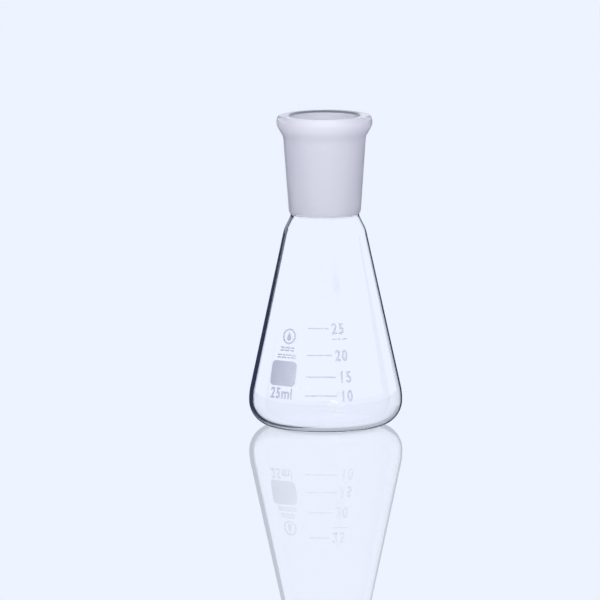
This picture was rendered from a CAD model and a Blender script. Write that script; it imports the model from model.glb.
"""A 25 ml conical flask with a ground 19/26 socket, standing on a pale glossy bench."""

import logging
import math
from collections.abc import Callable, Iterable
from dataclasses import dataclass, field
from enum import Enum
from typing import Any

import bpy
from mathutils import Matrix, Quaternion, Vector


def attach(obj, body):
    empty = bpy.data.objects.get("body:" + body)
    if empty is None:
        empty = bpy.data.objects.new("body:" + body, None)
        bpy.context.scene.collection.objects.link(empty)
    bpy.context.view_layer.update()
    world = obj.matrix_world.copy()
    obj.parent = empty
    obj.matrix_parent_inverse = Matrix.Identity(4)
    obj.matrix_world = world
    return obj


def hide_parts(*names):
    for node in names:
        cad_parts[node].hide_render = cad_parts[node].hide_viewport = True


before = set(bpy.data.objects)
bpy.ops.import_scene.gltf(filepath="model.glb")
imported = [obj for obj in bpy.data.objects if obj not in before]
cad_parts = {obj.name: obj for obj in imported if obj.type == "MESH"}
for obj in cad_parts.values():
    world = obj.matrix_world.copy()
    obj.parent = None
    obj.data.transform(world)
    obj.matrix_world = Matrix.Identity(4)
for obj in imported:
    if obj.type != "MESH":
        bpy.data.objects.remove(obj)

LOG = logging.getLogger("flask")
MM = 0.001
BODY = "root"
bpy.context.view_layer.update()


def linear(code: str) -> tuple[float, float, float, float]:
    """Turns an sRGB colour into the linear one that shaders take.

    Args:
        code: The colour as six hex digits.

    Returns:
        Linear red, green and blue, and an alpha of one.
    """
    parts = [int(code[k : k + 2], 16) / 255 for k in (0, 2, 4)]
    red, green, blue = (c / 12.92 if c <= 0.04045 else ((c + 0.055) / 1.055) ** 2.4 for c in parts)
    return red, green, blue, 1.0


def add_node(
    tree: bpy.types.NodeTree,
    kind: str,
    settings: dict[str, Any] | None = None,
    values: dict[str, Any] | None = None,
    links: dict[str, bpy.types.NodeSocket] | None = None,
) -> bpy.types.Node:
    """Adds one node to a tree.

    Args:
        tree: The node tree.
        kind: The node's type name.
        settings: The node's own properties, by name.
        values: Values for its inputs, by input name or place.
        links: Sockets that feed its inputs, by input name or place.

    Returns:
        The new node.
    """
    node = tree.nodes.new(kind)
    for name, value in (settings or {}).items():
        setattr(node, name, value)
    for name, value in (values or {}).items():
        node.inputs[name].default_value = value
    for name, socket in (links or {}).items():
        tree.links.new(socket, node.inputs[name])
    return node


def empty_material(
    name: str,
) -> tuple[bpy.types.Material, bpy.types.NodeTree, bpy.types.NodeSocket]:
    """Makes a material that holds only its output and its coordinates.

    Args:
        name: The material's name.

    Returns:
        The material, its node tree and the Object coordinates.
    """
    material = bpy.data.materials.new(name)
    material.use_nodes = True
    tree = material.node_tree
    tree.nodes.clear()
    place = add_node(tree, "ShaderNodeTexCoord").outputs["Object"]
    return material, tree, place


def finish_surface(tree: bpy.types.NodeTree, shader: bpy.types.Node) -> None:
    """Joins a shader to the material's surface output."""
    output = add_node(tree, "ShaderNodeOutputMaterial")
    tree.links.new(shader.outputs[0], output.inputs["Surface"])


@dataclass(frozen=True)
class BorosilicateGlass:
    """Clear borosilicate 3.3 glass, blown and fire-polished.

    To the eye it is colourless, with very long soft waves left by the blowing and a faint
    film of handling on the outside, so that highlights are not perfectly even.
    """

    name: str = "borosilicate_glass_blown"
    colour: str = "FDFDFF"
    refraction: float = 1.474
    roughness: tuple[float, float] = (0.0, 0.012)
    film_size_mm: float = 9.0
    wave_size_mm: float = 14.0
    wave_depth_mm: float = 0.004

    def build(self) -> bpy.types.Material:
        """Builds the material and returns it."""
        material, tree, place = empty_material(self.name)
        film = add_node(
            tree,
            "ShaderNodeTexNoise",
            values={"Scale": 1 / (self.film_size_mm * MM), "Detail": 3.0, "Roughness": 0.6},
            links={"Vector": place},
        )
        low, high = self.roughness
        spread = add_node(
            tree,
            "ShaderNodeMapRange",
            values={"From Min": 0.4, "From Max": 0.75, "To Min": low, "To Max": high},
            links={"Value": film.outputs["Fac"]},
        )
        waves = add_node(
            tree,
            "ShaderNodeTexNoise",
            values={"Scale": 1 / (self.wave_size_mm * MM), "Detail": 0.0},
            links={"Vector": place},
        )
        bump = add_node(
            tree,
            "ShaderNodeBump",
            values={"Strength": 1.0, "Distance": self.wave_depth_mm * MM},
            links={"Height": waves.outputs["Fac"]},
        )
        shader = add_node(
            tree,
            "ShaderNodeBsdfPrincipled",
            values={
                "Base Color": linear(self.colour),
                "IOR": self.refraction,
                "Transmission Weight": 1.0,
            },
            links={"Roughness": spread.outputs["Result"], "Normal": bump.outputs["Normal"]},
        )
        finish_surface(tree, shader)
        return material


@dataclass(frozen=True)
class GroundGlass:
    """Borosilicate glass ground with fine abrasive to a matt taper.

    Light scatters in the ground skin, so it looks an even lavender-grey white, with a fine
    grit and with faint rings that the turning tool left round the axis.
    """

    name: str = "ground_borosilicate_glass"
    colours: tuple[str, str] = ("FAFAFD", "FEFEFF")
    refraction: float = 1.474
    roughness: tuple[float, float] = (0.8, 0.95)
    # The ground skin scatters most of the light back and passes the rest.
    passing: float = 0.3
    # The real grit is under 0.1 mm. It is drawn coarser, or it would not show.
    grit_size_mm: float = 0.3
    ring_spacing_mm: float = 0.7
    grit_depth_mm: float = 0.012

    def build(self) -> bpy.types.Material:
        """Builds the material and returns it."""
        material, tree, place = empty_material(self.name)
        grit = add_node(
            tree,
            "ShaderNodeTexNoise",
            values={"Scale": 1 / (self.grit_size_mm * MM), "Detail": 4.0, "Roughness": 0.7},
            links={"Vector": place},
        )
        squeezed = add_node(
            tree,
            "ShaderNodeMapping",
            values={"Scale": (0.04, 0.04, 1.0)},
            links={"Vector": place},
        )
        rings = add_node(
            tree,
            "ShaderNodeTexNoise",
            values={"Scale": 1 / (self.ring_spacing_mm * MM), "Detail": 2.0},
            links={"Vector": squeezed.outputs["Vector"]},
        )
        both = add_node(
            tree,
            "ShaderNodeMix",
            values={"Factor": 0.35},
            links={"A": grit.outputs["Fac"], "B": rings.outputs["Fac"]},
        )
        low, high = self.roughness
        spread = add_node(
            tree,
            "ShaderNodeMapRange",
            values={"From Min": 0.35, "From Max": 0.65, "To Min": low, "To Max": high},
            links={"Value": both.outputs["Result"]},
        )
        tint = add_node(
            tree,
            "ShaderNodeMix",
            settings={"data_type": "RGBA"},
            values={6: linear(self.colours[0]), 7: linear(self.colours[1])},
            links={"Factor": both.outputs["Result"]},
        )
        bump = add_node(
            tree,
            "ShaderNodeBump",
            values={"Strength": 1.0, "Distance": self.grit_depth_mm * MM},
            links={"Height": both.outputs["Result"]},
        )
        sent_back = add_node(
            tree,
            "ShaderNodeBsdfPrincipled",
            values={"IOR": self.refraction},
            links={
                "Base Color": tint.outputs[2],
                "Roughness": spread.outputs["Result"],
                "Normal": bump.outputs["Normal"],
            },
        )
        passed = add_node(
            tree,
            "ShaderNodeBsdfTranslucent",
            links={"Color": tint.outputs[2], "Normal": bump.outputs["Normal"]},
        )
        shader = add_node(
            tree,
            "ShaderNodeMixShader",
            values={0: self.passing},
            links={1: sent_back.outputs[0], 2: passed.outputs[0]},
        )
        finish_surface(tree, shader)
        return material


@dataclass(frozen=True)
class FiredEnamel:
    """Pale grey-white ceramic enamel, screen-printed and fired on to the glass.

    It is opaque but thin, so its cover is a little uneven, and the fired skin has a slight
    satin gloss with a fine grain from the screen.
    """

    name: str = "fired_enamel_grey_white"
    colours: tuple[str, str] = ("B8BBC6", "C8CBD4")
    roughness: tuple[float, float] = (0.38, 0.55)
    refraction: float = 1.52
    # The screen's real grain is about 0.1 mm. It is drawn coarser, so that it shows.
    grain_size_mm: float = 0.25
    cover_size_mm: float = 2.5
    grain_depth_mm: float = 0.006

    def build(self) -> bpy.types.Material:
        """Builds the material and returns it."""
        material, tree, place = empty_material(self.name)
        grain = add_node(
            tree,
            "ShaderNodeTexNoise",
            values={"Scale": 1 / (self.grain_size_mm * MM), "Detail": 2.0},
            links={"Vector": place},
        )
        cover = add_node(
            tree,
            "ShaderNodeTexNoise",
            values={"Scale": 1 / (self.cover_size_mm * MM), "Detail": 3.0},
            links={"Vector": place},
        )
        both = add_node(
            tree,
            "ShaderNodeMix",
            values={"Factor": 0.6},
            links={"A": grain.outputs["Fac"], "B": cover.outputs["Fac"]},
        )
        tint = add_node(
            tree,
            "ShaderNodeMix",
            settings={"data_type": "RGBA"},
            values={6: linear(self.colours[0]), 7: linear(self.colours[1])},
            links={"Factor": both.outputs["Result"]},
        )
        low, high = self.roughness
        spread = add_node(
            tree,
            "ShaderNodeMapRange",
            values={"From Min": 0.35, "From Max": 0.65, "To Min": low, "To Max": high},
            links={"Value": grain.outputs["Fac"]},
        )
        bump = add_node(
            tree,
            "ShaderNodeBump",
            values={"Strength": 1.0, "Distance": self.grain_depth_mm * MM},
            links={"Height": grain.outputs["Fac"]},
        )
        shader = add_node(
            tree,
            "ShaderNodeBsdfPrincipled",
            values={"IOR": self.refraction},
            links={
                "Base Color": tint.outputs[2],
                "Roughness": spread.outputs["Result"],
                "Normal": bump.outputs["Normal"],
            },
        )
        finish_surface(tree, shader)
        return material


@dataclass(frozen=True)
class Corner:
    """One corner of a turned outline, in millimetres, with the setback and cuts of its rounding."""

    radius: float
    height: float
    setback: float = 0.0
    cuts: int = 8


def deselect_all() -> None:
    """Leaves object mode as the mode and nothing selected."""
    if bpy.context.mode != "OBJECT":
        bpy.ops.object.mode_set(mode="OBJECT")
    bpy.ops.object.select_all(action="DESELECT")


def edit(piece: bpy.types.Object) -> None:
    """Makes a piece the only selected one and opens it in edit mode."""
    deselect_all()
    piece.select_set(True)
    bpy.context.view_layer.objects.active = piece
    bpy.ops.object.mode_set(mode="EDIT")


def pick(piece: bpy.types.Object, test: Callable[[Vector], bool]) -> int:
    """Selects the points of a piece in edit mode that pass a test of their place.

    Args:
        piece: The piece, open in edit mode.
        test: Says of a place, in metres, whether its point is selected.

    Returns:
        How many points are selected.
    """
    bpy.ops.mesh.select_mode(type="VERT")
    bpy.ops.mesh.select_all(action="DESELECT")
    bpy.ops.object.mode_set(mode="OBJECT")
    found = [vert for vert in piece.data.vertices if test(vert.co)]
    for vert in found:
        vert.select = True
    bpy.ops.object.mode_set(mode="EDIT")
    return len(found)


def apply_modifier(piece: bpy.types.Object, kind: str, **settings: Any) -> None:
    """Adds a modifier to a piece and applies it.

    Args:
        piece: The piece.
        kind: The modifier's type.
        **settings: The modifier's properties.
    """
    deselect_all()
    piece.select_set(True)
    bpy.context.view_layer.objects.active = piece
    modifier = piece.modifiers.new(kind.title(), kind)
    for name, value in settings.items():
        setattr(modifier, name, value)
    bpy.ops.object.modifier_apply(modifier=modifier.name)


def settle(piece: bpy.types.Object) -> None:
    """Puts a piece's place, turn and size into its mesh."""
    deselect_all()
    piece.select_set(True)
    bpy.context.view_layer.objects.active = piece
    bpy.ops.object.transform_apply(location=True, rotation=True, scale=True)


def smooth(piece: bpy.types.Object, angle: float) -> None:
    """Shades a piece smooth, with an edge where faces meet at more than an angle in degrees."""
    deselect_all()
    piece.select_set(True)
    bpy.context.view_layer.objects.active = piece
    bpy.ops.object.shade_smooth_by_angle(angle=math.radians(angle))


def turn_on_lathe(name: str, corners: list[Corner], closed: bool, steps: int) -> bpy.types.Object:
    """Draws an outline as a chain of edges, rounds its corners and spins it round the upright axis.

    Args:
        name: The new piece's name.
        corners: The outline's corners in order.
        closed: Whether the last corner joins the first.
        steps: How many steps the spin takes.

    Returns:
        The turned piece, its faces outwards.
    """
    deselect_all()
    first = corners[0]
    bpy.ops.mesh.primitive_plane_add(size=MM, location=(first.radius * MM, 0, first.height * MM))
    piece = bpy.context.object
    piece.name = name
    settle(piece)
    edit(piece)
    bpy.ops.mesh.select_all(action="SELECT")
    bpy.ops.mesh.merge(type="CENTER")
    for last, corner in zip(corners, corners[1:]):
        step = ((corner.radius - last.radius) * MM, 0, (corner.height - last.height) * MM)
        bpy.ops.mesh.extrude_region_move(TRANSFORM_OT_translate={"value": step})
    if closed:
        ends = [Vector((c.radius * MM, 0, c.height * MM)) for c in (corners[0], corners[-1])]
        pick(piece, lambda co: any((co - end).length < 1e-7 for end in ends))
        bpy.ops.mesh.edge_face_add()
    for corner in corners:
        if corner.setback:
            place = Vector((corner.radius * MM, 0, corner.height * MM))
            found = pick(piece, lambda co: (co - place).length < 1e-7)
            if found != 1:
                raise ValueError(f"{name}: {found} points at corner {corner}")
            bpy.ops.mesh.bevel(
                offset_type="OFFSET",
                offset=corner.setback * MM,
                segments=corner.cuts,
                affect="VERTICES",
                clamp_overlap=False,
            )
    bpy.ops.mesh.select_all(action="SELECT")
    bpy.ops.mesh.spin(steps=steps, angle=math.tau, center=(0, 0, 0), axis=(0, 0, 1))
    bpy.ops.mesh.select_all(action="SELECT")
    bpy.ops.mesh.remove_doubles(threshold=2e-6)
    bpy.ops.mesh.normals_make_consistent(inside=False)
    deselect_all()
    return piece


@dataclass
class GlassSurface:
    """The outside of the conical body, in millimetres, which the other classes take places from."""

    belly_radius: float = 21.0
    belly_height: float = 9.0
    shoulder_radius: float = 11.2
    shoulder_height: float = 54.2

    def radius(self, height: float) -> float:
        """Returns the straight cone's outside radius at a height."""
        share = (height - self.belly_height) / (self.shoulder_height - self.belly_height)
        return self.belly_radius + share * (self.shoulder_radius - self.belly_radius)

    def lean(self) -> float:
        """Returns how far the cone's side leans from upright, in radians."""
        run = self.belly_radius - self.shoulder_radius
        return math.atan(run / (self.shoulder_height - self.belly_height))


@dataclass
class ConicalBody:
    """The blown shell, from its pushed-up base and foot ring to the waist, in millimetres."""

    surface: GlassSurface
    finish: bpy.types.Material
    wall: float = 1.1
    waist_radius: float = 9.4
    waist_height: float = 57.8
    waist_setback: float = 0.24
    top_height: float = 58.385
    shoulder_setback: float = 1.03
    belly_setback: float = 1.6
    heel_radius: float = 6.9
    foot_radius: float = 13.1
    punt_radius: float = 6.55
    punt_height: float = 0.8
    punt_setback: float = 6.3
    steps: int = 192

    def build(self) -> bpy.types.Object:
        """Spins the outside, gives it its wall and returns the piece."""
        skin = self.surface
        corners = [
            Corner(0.0, self.punt_height),
            Corner(self.punt_radius, self.punt_height, self.punt_setback, 24),
            Corner(self.foot_radius, 0.0),
            Corner(skin.belly_radius, 0.0, self.heel_radius, 28),
            Corner(skin.belly_radius, skin.belly_height, self.belly_setback, 8),
            Corner(skin.shoulder_radius, skin.shoulder_height, self.shoulder_setback, 6),
            Corner(self.waist_radius, self.waist_height, self.waist_setback, 4),
            Corner(self.waist_radius, self.top_height),
        ]
        piece = turn_on_lathe("blown_body", corners, False, self.steps)
        apply_modifier(
            piece,
            "SOLIDIFY",
            thickness=self.wall * MM,
            offset=-1.0,
            use_even_offset=True,
            use_quality_normals=True,
        )
        smooth(piece, 32)
        piece.data.materials.clear()
        piece.data.materials.append(self.finish)
        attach(piece, BODY)
        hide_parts("conical_body")
        return piece


@dataclass
class JointSocket:
    """The heavy tube with the ground taper inside and the bead at the mouth, in millimetres."""

    clear: bpy.types.Material
    ground: bpy.types.Material
    foot_height: float = 58.4
    ground_foot: float = 59.1
    ground_top: float = 85.1
    ground_foot_radius: float = 8.1
    ground_top_radius: float = 9.4
    steps: int = 192

    def build(self) -> bpy.types.Object:
        """Spins the closed outline, marks the ground faces and returns the piece."""
        corners = [
            Corner(9.9, 85.6, 0.3, 6),
            Corner(12.85, 85.6, 0.95, 10),
            Corner(13.25, 83.2, 0.9, 6),
            Corner(11.31, 79.8, 0.2, 4),
            Corner(9.85, 59.3, 0.16, 4),
            Corner(9.4, self.foot_height),
            Corner(8.3, self.foot_height),
            Corner(self.ground_foot_radius, self.ground_foot),
            Corner(self.ground_top_radius, self.ground_top),
        ]
        piece = turn_on_lathe("ground_socket", corners, True, self.steps)
        smooth(piece, 32)
        piece.data.materials.clear()
        piece.data.materials.append(self.clear)
        piece.data.materials.append(self.ground)
        edit(piece)
        self.pick_ground(piece)
        piece.active_material_index = 1
        bpy.ops.object.material_slot_assign()
        deselect_all()
        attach(piece, BODY)
        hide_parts("joint_socket")
        return piece

    def pick_ground(self, piece: bpy.types.Object) -> None:
        """Selects the faces of the ground taper, by their place and the way they face."""
        bpy.ops.mesh.select_mode(type="FACE")
        bpy.ops.mesh.select_all(action="DESELECT")
        bpy.ops.object.mode_set(mode="OBJECT")
        for face in piece.data.polygons:
            outward = Vector((face.center.x, face.center.y, 0)).normalized()
            inside = face.normal.dot(outward) < -0.9
            face.select = inside and self.ground_foot < face.center.z / MM < self.ground_top
        bpy.ops.object.mode_set(mode="EDIT")


class Shape(Enum):
    """How a printed mark is drawn."""

    CHARACTER = "character"
    PATCH = "patch"
    DASHES = "dashes"
    RING = "ring"
    DROP = "drop"


@dataclass
class Mark:
    """One printed mark: the CAD node it stands for, its shape, place and size in millimetres."""

    node: str
    shape: Shape
    azimuth: float
    height: float
    size: tuple[float, float]
    text: str = ""
    corner: float = 0.0
    rows: int = 1
    dashes: tuple[float, ...] = ()


@dataclass
class EnamelPrinter:
    """Prints marks on the cone, in millimetres.

    Each mark is drawn flat, turned to its place, laid on the glass and given its thickness.
    """

    surface: GlassSurface
    glass: bpy.types.Object
    finish: bpy.types.Material
    stand_off: float = 0.02
    thickness: float = 0.06
    strip: float = 0.45
    boldness: float = 0.3
    # How far off the glass a flat mark stands before it is laid on.
    approach: float = 0.5
    # The blocks of small print: their height as a share of a row, their gaps and their corners.
    block_share: float = 0.62
    block_gap: float = 0.28
    block_corner: float = 0.12
    # A drop's point is pulled from the very top of a disc, and the disc follows over this reach.
    # Both are shares of its width.
    point_share: float = 0.499
    point_reach: float = 0.85

    def print_mark(self, mark: Mark) -> bpy.types.Object:
        """Draws a mark and lays it on the glass.

        Args:
            mark: The mark.

        Returns:
            The finished piece.
        """
        makers = {
            Shape.CHARACTER: self.character,
            Shape.PATCH: self.patch,
            Shape.DASHES: self.dashes,
            Shape.RING: self.ring,
            Shape.DROP: self.drop,
        }
        piece = makers[mark.shape](mark)
        piece.name = f"print_{mark.node}"
        self.cut_in_strips(piece, mark)
        self.lay_on_glass(piece, mark)
        piece.data.materials.clear()
        piece.data.materials.append(self.finish)
        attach(piece, BODY)
        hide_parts(mark.node)
        return piece

    def character(self, mark: Mark) -> bpy.types.Object:
        """Returns a flat character: a letter fills its width, and numerals share a nought's."""
        nought = self.flat_text("0")
        rise = max(vert.co.y for vert in nought.data.vertices)
        wide = self.span(nought)
        bpy.data.objects.remove(nought)
        piece = self.flat_text(mark.text)
        left, right = self.span(piece)
        width, height = (side * MM for side in mark.size)
        if mark.text.isdigit():
            scale = (width / (wide[1] - wide[0]), height / rise)
        else:
            scale = (width / (right - left), height / rise)
        piece.scale = (scale[0], scale[1], 1)
        piece.location = (-(left + right) / 2 * scale[0], -height / 2, 0)
        settle(piece)
        return piece

    def span(self, piece: bpy.types.Object) -> tuple[float, float]:
        """Returns a flat piece's left and right ends."""
        across = [vert.co.x for vert in piece.data.vertices]
        return min(across), max(across)

    def flat_text(self, text: str) -> bpy.types.Object:
        """Returns text as a flat mesh, 10 mm high at the start."""
        deselect_all()
        bpy.ops.object.text_add()
        piece = bpy.context.object
        piece.data.body = text
        piece.data.size = 10 * MM
        piece.data.resolution_u = 10
        piece.data.offset = self.boldness * MM
        bpy.ops.object.convert(target="MESH")
        return bpy.context.object

    def patch(self, mark: Mark) -> bpy.types.Object:
        """Returns a flat rectangle, its corners rounded where the mark has a corner radius."""
        deselect_all()
        bpy.ops.mesh.primitive_plane_add(size=1)
        piece = bpy.context.object
        piece.scale = (mark.size[0] * MM, mark.size[1] * MM, 1)
        settle(piece)
        if mark.corner:
            edit(piece)
            bpy.ops.mesh.select_all(action="SELECT")
            bpy.ops.mesh.bevel(
                offset_type="OFFSET", offset=mark.corner * MM, segments=8, affect="VERTICES"
            )
            deselect_all()
        return piece

    def dashes(self, mark: Mark) -> bpy.types.Object:
        """Returns rows of short plain blocks, which stand for a line of small print."""
        width, height = mark.size
        pitch = height / mark.rows
        block = self.block_share * pitch
        gap = self.block_gap
        scale = (width - gap * (len(mark.dashes) - 1)) / sum(mark.dashes)
        parts = []
        for row in range(mark.rows):
            middle = height / 2 - (row + 0.5) * pitch
            start = -width / 2
            order = mark.dashes if row % 2 == 0 else mark.dashes[::-1]
            for length in order:
                size = (length * scale, block)
                piece = self.patch(
                    Mark(mark.node, Shape.PATCH, 0, 0, size, corner=self.block_corner)
                )
                piece.location = ((start + length * scale / 2) * MM, middle * MM, 0)
                start += length * scale + gap
                parts.append(piece)
        return self.joined(parts)

    def joined(self, parts: list[bpy.types.Object]) -> bpy.types.Object:
        """Joins flat parts into one piece and returns it."""
        deselect_all()
        for part in parts:
            part.select_set(True)
        bpy.context.view_layer.objects.active = parts[0]
        bpy.ops.object.transform_apply(location=True, rotation=True, scale=True)
        if len(parts) > 1:
            bpy.ops.object.join()
        return bpy.context.object

    def ring(self, mark: Mark) -> bpy.types.Object:
        """Returns a flat ring: a disc inset by the line's width, its middle removed."""
        deselect_all()
        bpy.ops.mesh.primitive_circle_add(
            vertices=64, radius=mark.size[0] / 2 * MM, fill_type="NGON"
        )
        piece = bpy.context.object
        edit(piece)
        bpy.ops.mesh.select_mode(type="FACE")
        bpy.ops.mesh.select_all(action="SELECT")
        bpy.ops.mesh.inset(thickness=mark.size[1] * MM, depth=0)
        bpy.ops.mesh.delete(type="FACE")
        deselect_all()
        return piece

    def drop(self, mark: Mark) -> bpy.types.Object:
        """Returns a flat drop with its point up: a disc whose upper half is drawn to a point."""
        width, height = (side * MM for side in mark.size)
        deselect_all()
        bpy.ops.mesh.primitive_circle_add(vertices=64, radius=width / 2, fill_type="NGON")
        piece = bpy.context.object
        edit(piece)
        low = height / 2 - width / 2
        bpy.ops.mesh.select_all(action="SELECT")
        bpy.ops.transform.translate(value=(0, -low, 0))
        pick(piece, lambda co: co.y > -low + width * self.point_share)
        bpy.ops.transform.translate(
            value=(0, height - width, 0),
            use_proportional_edit=True,
            proportional_edit_falloff="SHARP",
            proportional_size=width * self.point_reach,
        )
        deselect_all()
        return piece

    def cut_in_strips(self, piece: bpy.types.Object, mark: Mark) -> None:
        """Adds upright cuts across a flat mark, so that it can follow the round glass."""
        span = mark.size[0]
        strips = max(1, math.ceil(span / self.strip))
        edit(piece)
        for k in range(1, strips):
            place = (k / strips - 0.5) * span * MM
            bpy.ops.mesh.select_all(action="SELECT")
            bpy.ops.mesh.bisect(plane_co=(place, 0, 0), plane_no=(1, 0, 0))
        deselect_all()

    def lay_on_glass(self, piece: bpy.types.Object, mark: Mark) -> None:
        """Turns a flat mark to its place, wraps it on to the glass and thickens it."""
        skin = self.surface
        radius = (skin.radius(mark.height) + self.approach) * MM
        angle = math.radians(mark.azimuth)
        stand = Matrix.Rotation(math.pi / 2 - skin.lean(), 4, "X")
        out = Matrix.Translation((0, -radius, mark.height * MM))
        piece.matrix_world = Matrix.Rotation(angle, 4, "Z") @ out @ stand
        settle(piece)
        apply_modifier(
            piece,
            "SHRINKWRAP",
            target=self.glass,
            wrap_method="NEAREST_SURFACEPOINT",
            wrap_mode="ABOVE_SURFACE",
            offset=self.stand_off * MM,
        )
        apply_modifier(
            piece, "SOLIDIFY", thickness=self.thickness * MM, offset=1.0, use_even_offset=True
        )
        smooth(piece, 40)


@dataclass
class EnamelScale:
    """The graduation lines with their numerals, and the note under the top line, in millimetres."""

    printer: EnamelPrinter
    levels: dict[int, float] = field(
        default_factory=lambda: {10: 10.98, 15: 16.01, 20: 21.84, 25: 29.04}
    )
    lengths: dict[int, float] = field(default_factory=lambda: {10: 9.4, 15: 8.7, 20: 7.2, 25: 5.8})
    line_width: float = 0.35
    start_azimuth: float = -16.5
    gap: float = 0.65
    numeral_width: float = 1.55
    numeral_height: float = 3.07
    numeral_spacing: float = 0.35
    note_size: tuple[float, float] = (4.4, 0.5)
    note_gap: float = 1.1

    def build(self) -> list[bpy.types.Object]:
        """Prints the scale and returns its pieces."""
        skin = self.printer.surface
        pieces = []
        for volume, level in self.levels.items():
            degrees = math.degrees(1 / skin.radius(level))
            length = self.lengths[volume]
            middle = self.start_azimuth + length / 2 * degrees
            size = (length, self.line_width)
            node = f"graduation_line_{volume}"
            pieces.append(self.printer.print_mark(Mark(node, Shape.PATCH, middle, level, size)))
            start = self.start_azimuth + (length + self.gap) * degrees
            for place, text in zip(("tens", "ones"), str(volume)):
                middle = start + self.numeral_width / 2 * degrees
                size = (self.numeral_width, self.numeral_height)
                node = f"numeral_{volume}_{place}"
                mark = Mark(node, Shape.CHARACTER, middle, level, size, text)
                pieces.append(self.printer.print_mark(mark))
                start += (self.numeral_width + self.numeral_spacing) * degrees
        width, height = self.note_size
        top = max(self.levels.values())
        degrees = math.degrees(1 / skin.radius(top))
        middle = self.start_azimuth + (self.lengths[25] + self.gap + width / 2) * degrees
        level = top - self.numeral_height / 2 - self.note_gap - height / 2
        note = Mark(
            "scale_note_bar",
            Shape.DASHES,
            middle,
            level,
            self.note_size,
            dashes=(1.2, 0.8, 1.4),
        )
        pieces.append(self.printer.print_mark(note))
        return pieces


@dataclass
class MarkColumn:
    """The marks left of the scale, in millimetres.

    From the foot up they are the capacity, the write-on patch, two print bars and the emblem.
    """

    printer: EnamelPrinter
    foot: float = 9.8
    gap: float = 0.3
    capacity_height: float = 3.0
    capacity_spacing: float = 0.3
    capacity: tuple[tuple[str, float], ...] = (("2", 1.6), ("5", 1.6), ("m", 2.6), ("l", 0.4))
    capacity_azimuth: float = -36.8
    patch_size: tuple[float, float] = (8.7, 6.9)
    patch_corner: float = 1.3
    patch_azimuth: float = -37.2
    bar_sizes: tuple[tuple[float, float], ...] = ((6.2, 1.4), (4.6, 1.5))
    bar_gap: float = 0.5
    bar_azimuth: float = -35.6
    emblem_diameter: float = 4.3
    emblem_line: float = 0.45
    emblem_azimuth: float = -35.0
    drop_size: tuple[float, float] = (1.35, 2.4)

    def build(self) -> list[bpy.types.Object]:
        """Prints the column and returns its pieces."""
        return self.build_capacity() + self.build_upper()

    def build_capacity(self) -> list[bpy.types.Object]:
        """Prints the capacity mark, a piece for each character, and returns them."""
        level = self.foot + self.capacity_height / 2
        degrees = math.degrees(1 / self.printer.surface.radius(level))
        total = sum(width for _, width in self.capacity)
        total += self.capacity_spacing * (len(self.capacity) - 1)
        start = self.capacity_azimuth - total / 2 * degrees
        pieces = []
        for text, width in self.capacity:
            middle = start + width / 2 * degrees
            size = (width, self.capacity_height)
            mark = Mark(f"capacity_{text}", Shape.CHARACTER, middle, level, size, text)
            pieces.append(self.printer.print_mark(mark))
            start += (width + self.capacity_spacing) * degrees
        return pieces

    def build_upper(self) -> list[bpy.types.Object]:
        """Prints the patch, the bars and the emblem, and returns them."""
        foot = self.foot + self.capacity_height + self.gap
        level = foot + self.patch_size[1] / 2
        marks = [
            Mark(
                "write_on_patch",
                Shape.PATCH,
                self.patch_azimuth,
                level,
                self.patch_size,
                corner=self.patch_corner,
            )
        ]
        foot += self.patch_size[1] + self.bar_gap
        rhythms = ((1.6, 0.9, 1.9, 1.2), (1.3, 1.8, 1.0))
        names = ("print_bar_lower", "print_bar_upper")
        for node, size, dashes in zip(names, self.bar_sizes, rhythms):
            level = foot + size[1] / 2
            marks.append(
                Mark(node, Shape.DASHES, self.bar_azimuth, level, size, rows=2, dashes=dashes)
            )
            foot += size[1] + self.bar_gap
        level = foot + self.emblem_diameter / 2
        ring = (self.emblem_diameter, self.emblem_line)
        marks.append(Mark("emblem_ring", Shape.RING, self.emblem_azimuth, level, ring))
        marks.append(Mark("emblem_drop", Shape.DROP, self.emblem_azimuth, level, self.drop_size))
        return [self.printer.print_mark(mark) for mark in marks]


@dataclass
class Softbox:
    """One soft studio light, with angles in degrees, lengths in metres and power in watts."""

    name: str
    azimuth: float
    elevation: float
    distance: float
    size: tuple[float, float]
    power: float


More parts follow.
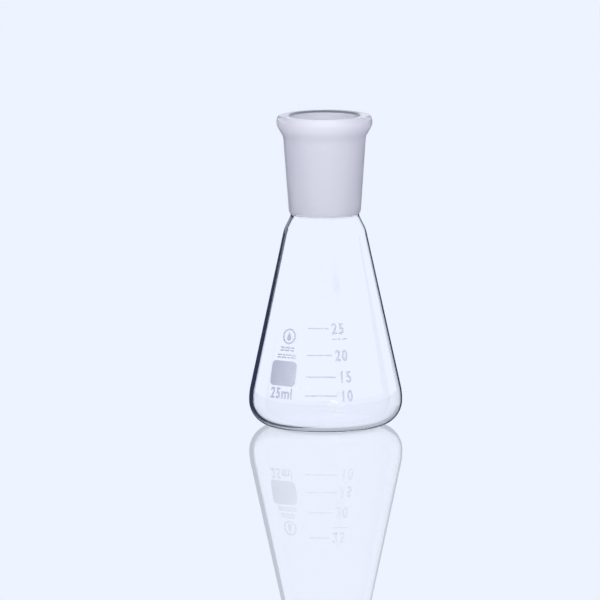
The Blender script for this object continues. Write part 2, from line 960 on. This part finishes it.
@dataclass
class Studio:
    """The camera, the surroundings, the glossy bench and the soft light, in metres and degrees.

    The surroundings are stylised: what a ray sees of them depends on how it came there, and not
    only on where it goes.
    """

    background: str = "EDF3FF"
    card: str = "30364E"
    # Behind glass the background is this much brighter where the crossings count as one, and in
    # proportion beyond it. Each crossing counts by a share, then by a power, up to a limit.
    glow: float = 1.04
    crossing_share: float = 0.25
    crossing_power: float = 2.5
    crossing_limit: float = 8.0
    # Only scattered light sees the walls and ceiling, and the lamps, which are this strong.
    wall_colour: str = "5E6086"
    lamp_colour: str = "F3F3FA"
    lamp_strength: float = 3.1
    # The unlit floor starts this far down, as a share of a ray's length, and is this dark.
    floor_edge: float = -0.45
    floor_share: float = 0.9
    # Degrees from straight on where the walls begin, and shares of a ray's length for the ceiling.
    wall_edges: tuple[float, float] = (35.0, 60.0)
    ceiling_edges: tuple[float, float] = (0.15, 0.5)
    # The cards end at this share of a ray's length above the level.
    card_top: float = 0.115
    # Between these shares the low cards give way to the others.
    steep_edges: tuple[float, float] = (-0.26, -0.17)
    # Where the cards start and stop, in degrees from straight on, and how dark they are there.
    card_edges: tuple[tuple[float, float], ...] = (
        (-74.0, 1.0),
        (-70.0, 0.0),
        (-40.0, 0.0),
        (-36.0, 1.0),
        (14.0, 1.0),
        (20.0, 0.0),
        (58.0, 0.0),
        (64.0, 1.0),
    )
    low_card_edges: tuple[tuple[float, float], ...] = (
        (-74.0, 1.0),
        (-70.0, 0.35),
        (-40.0, 0.35),
        (-36.0, 1.0),
        (-14.0, 1.0),
        (-10.0, 0.35),
        (58.0, 0.35),
        (64.0, 1.0),
    )
    lens_distance: float = 6.0
    elevation: float = 8.06
    roll: float = -0.25
    frame_width: float = 0.1645
    # The sensor's width is in millimetres.
    sensor: float = 36.0
    clip: tuple[float, float] = (0.1, 100.0)
    target: tuple[float, float, float] = (-0.00691, -0.00111, 0.03466)
    bench_drop: float = 0.00005
    bench_radius: float = 1.5
    bench_ior: float = 1.3
    light_aim: tuple[float, float, float] = (0.0, 0.0, 0.045)
    lights: tuple[Softbox, ...] = (
        Softbox("top_softbox", -24.8, 66.0, 1.2, (0.26, 0.3), 1.0),
    )

    def build(self) -> None:
        """Builds the whole studio."""
        self.build_camera()
        self.build_surroundings()
        self.build_bench()
        self.build_lights()
        scene = bpy.context.scene
        scene.view_settings.view_transform = "Standard"
        scene.cycles.max_bounces = 32
        scene.cycles.diffuse_bounces = 16
        scene.cycles.transmission_bounces = 24
        scene.cycles.glossy_bounces = 12
        scene.cycles.transparent_max_bounces = 24

    def build_camera(self) -> None:
        """Places the camera, a long way off with a long lens."""
        data = bpy.data.cameras.new("camera")
        data.sensor_width = self.sensor
        data.lens = self.sensor * self.lens_distance / self.frame_width
        data.clip_start, data.clip_end = self.clip
        camera = bpy.data.objects.new("camera", data)
        bpy.context.scene.collection.objects.link(camera)
        tilt = math.radians(self.elevation)
        back = Vector((0, -math.cos(tilt), math.sin(tilt)))
        camera.location = Vector(self.target) + back * self.lens_distance
        roll = Quaternion((0, 0, 1), math.radians(self.roll))
        camera.rotation_euler = ((-back).to_track_quat("-Z", "Y") @ roll).to_euler()
        bpy.context.scene.camera = camera

    def build_surroundings(self) -> None:
        """Makes the pale surroundings, and the dark cards that draw the edges of clear glass.

        A ray's depths are whole numbers, so they are compared with halves.
        """
        world = bpy.data.worlds.new("studio")
        bpy.context.scene.world = world
        world.use_nodes = True
        tree = world.node_tree
        tree.nodes.clear()
        way = add_node(tree, "ShaderNodeTexCoord").outputs["Generated"]
        parts = add_node(tree, "ShaderNodeSeparateXYZ", links={0: way})
        path = add_node(tree, "ShaderNodeLightPath")

        def math_node(operation: str, *terms: float | bpy.types.NodeSocket) -> bpy.types.NodeSocket:
            """Adds one step of arithmetic and returns its result."""
            numbers = {k: term for k, term in enumerate(terms) if isinstance(term, (int, float))}
            sockets = {k: term for k, term in enumerate(terms) if k not in numbers}
            kind = {"operation": operation}
            node = add_node(tree, "ShaderNodeMath", settings=kind, values=numbers, links=sockets)
            return node.outputs[0]

        def fade(
            value: bpy.types.NodeSocket, edges: tuple[float, float], start: float, end: float
        ) -> bpy.types.NodeSocket:
            """Returns a smooth step between two edges, from the start to the end."""
            node = add_node(
                tree,
                "ShaderNodeMapRange",
                settings={"interpolation_type": "SMOOTHSTEP"},
                values={"From Min": edges[0], "From Max": edges[1], "To Min": start, "To Max": end},
                links={"Value": value},
            )
            return node.outputs["Result"]

        def covered(
            under: bpy.types.NodeSocket,
            over: tuple[float, float, float, float],
            share: bpy.types.NodeSocket,
        ) -> bpy.types.NodeSocket:
            """Lays one colour over another by a share and returns the result."""
            node = add_node(
                tree,
                "ShaderNodeMix",
                settings={"data_type": "RGBA"},
                values={7: over},
                links={"Factor": share, 6: under},
            )
            return node.outputs[2]

        # A ray that a surface turned back inside the glass, or along its skin, sees the cards.
        turned_back = math_node("GREATER_THAN", path.outputs["Glossy Depth"], 0.5)
        once = math_node("LESS_THAN", path.outputs["Glossy Depth"], 1.5)
        entered = math_node("GREATER_THAN", path.outputs["Transmission Depth"], 0.5)
        limit = math_node("MULTIPLY", entered, self.card_top)
        above = math_node("GREATER_THAN", parts.outputs["Z"], limit)
        clear_of_cards = math_node("MULTIPLY", once, above)
        meets_card = math_node("MULTIPLY", turned_back, math_node("SUBTRACT", 1.0, clear_of_cards))
        one_wall = math_node("LESS_THAN", path.outputs["Transmission Depth"], 2.5)
        meets_card = math_node("MULTIPLY", meets_card, one_wall)
        # Scattered light is soft, so it sees the studio's walls and ceiling but not the cards.
        scattered = math_node("GREATER_THAN", path.outputs["Diffuse Depth"], 0.5)
        meets_card = math_node("MULTIPLY", meets_card, math_node("SUBTRACT", 1.0, scattered))
        # The cards leave a gap on each side behind the flask, the wider one on the right, so
        # that the right edge is drawn thinner.
        angle = math_node("ARCTAN2", parts.outputs["X"], parts.outputs["Y"])
        share = math_node("FRACT", math_node("MULTIPLY_ADD", angle, 1 / math.tau, 1.5))
        sides = self.stripes(tree, share, self.card_edges)
        # Rays that come down steeply from the base see cards at the sides only.
        sides_low = self.stripes(tree, share, self.low_card_edges)
        steep = fade(parts.outputs["Z"], self.steep_edges, 1.0, 0.0)
        cards = add_node(
            tree, "ShaderNodeMix", links={"Factor": steep, "A": sides, "B": sides_low}
        ).outputs["Result"]
        # Glass seen from outside mirrors cards all round, which darkens its edges.
        all_round = math_node("SUBTRACT", 1.0, entered)
        cards = math_node("MAXIMUM", cards, all_round)
        dark = math_node("MULTIPLY", meets_card, cards)
        # Light that only crosses the rim leaves it steeply, towards the unlit floor.
        unlit = math_node("LESS_THAN", parts.outputs["Z"], self.floor_edge)
        straight = math_node("SUBTRACT", 1.0, math_node("MAXIMUM", turned_back, scattered))
        rim = math_node("MULTIPLY", math_node("MULTIPLY", entered, one_wall), unlit)
        rim = math_node("MULTIPLY", rim, straight)
        dark = math_node("MAXIMUM", dark, math_node("MULTIPLY", rim, self.floor_share))
        # Scattered light finds strong lamps before and behind, and dull walls and ceiling.
        aside = math_node("PINGPONG", math_node("ABSOLUTE", angle), math.pi / 2)
        first, last = self.wall_edges
        walls = fade(aside, (math.radians(first), math.radians(last)), 0.0, 1.0)
        ceiling = fade(parts.outputs["Z"], self.ceiling_edges, 0.0, 1.0)
        duller = math_node("MULTIPLY", scattered, math_node("MAXIMUM", walls, ceiling))
        pale = linear(self.background)
        bright = tuple(channel * self.glow for channel in pale[:3]) + (1.0,)
        lamp = linear(self.lamp_colour)
        strong = tuple(channel * self.lamp_strength for channel in lamp[:3]) + (1.0,)
        # Each wall passed takes some light, so what is seen through several is lit the more.
        crossings = math_node("MULTIPLY", path.outputs["Transmission Depth"], self.crossing_share)
        crossings = math_node("POWER", crossings, self.crossing_power)
        crossings = math_node("MINIMUM", crossings, self.crossing_limit)
        backdrop = add_node(
            tree,
            "ShaderNodeMix",
            settings={"data_type": "RGBA", "clamp_factor": False},
            values={6: pale, 7: bright},
            links={"Factor": crossings},
        )
        seen = covered(backdrop.outputs[2], strong, scattered)
        seen = covered(seen, linear(self.wall_colour), duller)
        seen = covered(seen, linear(self.card), dark)
        lit = add_node(tree, "ShaderNodeBackground", links={"Color": seen})
        output = add_node(tree, "ShaderNodeOutputWorld")
        tree.links.new(lit.outputs[0], output.inputs["Surface"])

    def stripes(
        self,
        tree: bpy.types.NodeTree,
        share: bpy.types.NodeSocket,
        edges: tuple[tuple[float, float], ...],
    ) -> bpy.types.NodeSocket:
        """Draws upright stripes over a full turn.

        Args:
            tree: The world's node tree.
            share: The way as a share of a full turn, half where it is straight on.
            edges: Degrees from straight on, each with how dark the stripe is there.

        Returns:
            The stripes, from pale at zero to dark at one.
        """
        ramp = add_node(tree, "ShaderNodeValToRGB", links={"Fac": share})
        marks = ramp.color_ramp.elements
        marks.remove(marks[1])
        for place, (degrees, dark) in enumerate(edges):
            mark = marks.new(degrees / 360 + 0.5) if place else marks[0]
            mark.position = degrees / 360 + 0.5
            mark.color = (dark, dark, dark, 1)
        return ramp.outputs["Color"]

    def build_bench(self) -> None:
        """Makes the bench: clear to the surroundings, with a glossy face that mirrors the foot."""
        deselect_all()
        bpy.ops.mesh.primitive_circle_add(
            vertices=96,
            radius=self.bench_radius,
            fill_type="NGON",
            location=(0, 0, -self.bench_drop),
        )
        bench = bpy.context.object
        bench.name = "bench"
        material, tree, _ = empty_material("polished_bench")
        gloss = add_node(
            tree, "ShaderNodeBsdfGlossy", values={"Color": (1, 1, 1, 1), "Roughness": 0.0}
        )
        clear = add_node(tree, "ShaderNodeBsdfTransparent")
        share = add_node(tree, "ShaderNodeFresnel", values={"IOR": self.bench_ior})
        shader = add_node(
            tree,
            "ShaderNodeMixShader",
            links={0: share.outputs[0], 1: clear.outputs[0], 2: gloss.outputs[0]},
        )
        finish_surface(tree, shader)
        bench.data.materials.append(material)

    def build_lights(self) -> None:
        """Places the soft lights, each turned to the middle of the flask."""
        aim = Vector(self.light_aim)
        for box in self.lights:
            data = bpy.data.lights.new(box.name, "AREA")
            data.shape = "RECTANGLE"
            data.size, data.size_y = box.size
            data.energy = box.power
            light = bpy.data.objects.new(box.name, data)
            bpy.context.scene.collection.objects.link(light)
            turn, rise = math.radians(box.azimuth), math.radians(box.elevation)
            out = Vector(
                (math.sin(turn) * math.cos(rise), -math.cos(turn) * math.cos(rise), math.sin(rise))
            )
            light.location = aim + out * box.distance
            light.rotation_euler = out.to_track_quat("Z", "Y").to_euler()


def report(pieces: Iterable[bpy.types.Object]) -> None:
    """Logs each piece's name and how many faces it has."""
    for piece in pieces:
        LOG.info("%s: %d faces", piece.name, len(piece.data.polygons))


def main() -> None:
    """Builds the studio and the flask."""
    logging.basicConfig(level=logging.INFO)
    Studio().build()
    clear = BorosilicateGlass().build()
    ground = GroundGlass().build()
    enamel = FiredEnamel().build()
    surface = GlassSurface()
    body = ConicalBody(surface, clear).build()
    report([body])
    report([JointSocket(clear, ground).build()])
    printer = EnamelPrinter(surface, body, enamel)
    report(EnamelScale(printer).build())
    report(MarkColumn(printer).build())


if __name__ == "__main__":
    main()
